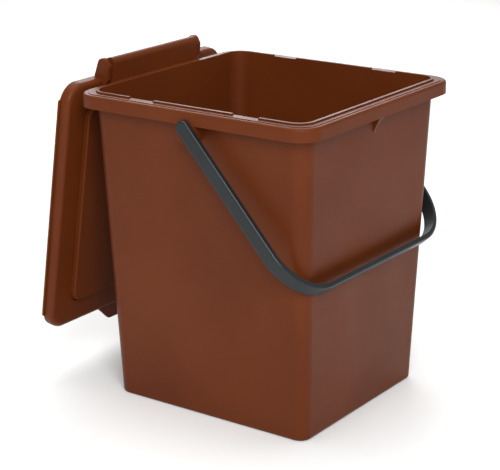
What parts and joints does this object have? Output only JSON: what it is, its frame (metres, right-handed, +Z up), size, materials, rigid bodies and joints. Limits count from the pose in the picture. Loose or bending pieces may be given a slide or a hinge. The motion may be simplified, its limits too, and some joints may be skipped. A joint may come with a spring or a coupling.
{
  "type": "food waste caddy",
  "caption": "Small tapered food-waste caddy with a flanged rim, a shallow lid hung open on hinge ears and a U-shaped carrying handle.",
  "frame": {"origin": "centre of the tub's underside, on the floor", "axes": "+Z up, -Y towards the front (the side away from the hinge), +X to the right seen from the front"},
  "size_m": [0.2462, 0.2947, 0.3],
  "materials": {
    "tub_plastic": "semi-gloss moulded brown",
    "lid_plastic": "semi-gloss moulded brown",
    "handle_plastic": "satin moulded dark slate"
  },
  "bodies": {
    "tub": {"tub": "tub_plastic"},
    "lid": {"lid": "lid_plastic"},
    "handle": {"handle": "handle_plastic"}
  },
  "joints": [
    {"name": "lid_hinge", "type": "hinge", "parent": "tub", "child": "lid", "pos_m": [0, 0.1263, 0.292], "axis": [1, 0, 0], "range_deg": [0, 261.5]},
    {"name": "handle_pivot", "type": "hinge", "parent": "tub", "child": "handle", "pos_m": [0, 0, 0.266], "axis": [-1, 0, 0], "range_deg": [0, 228]}
  ]
}
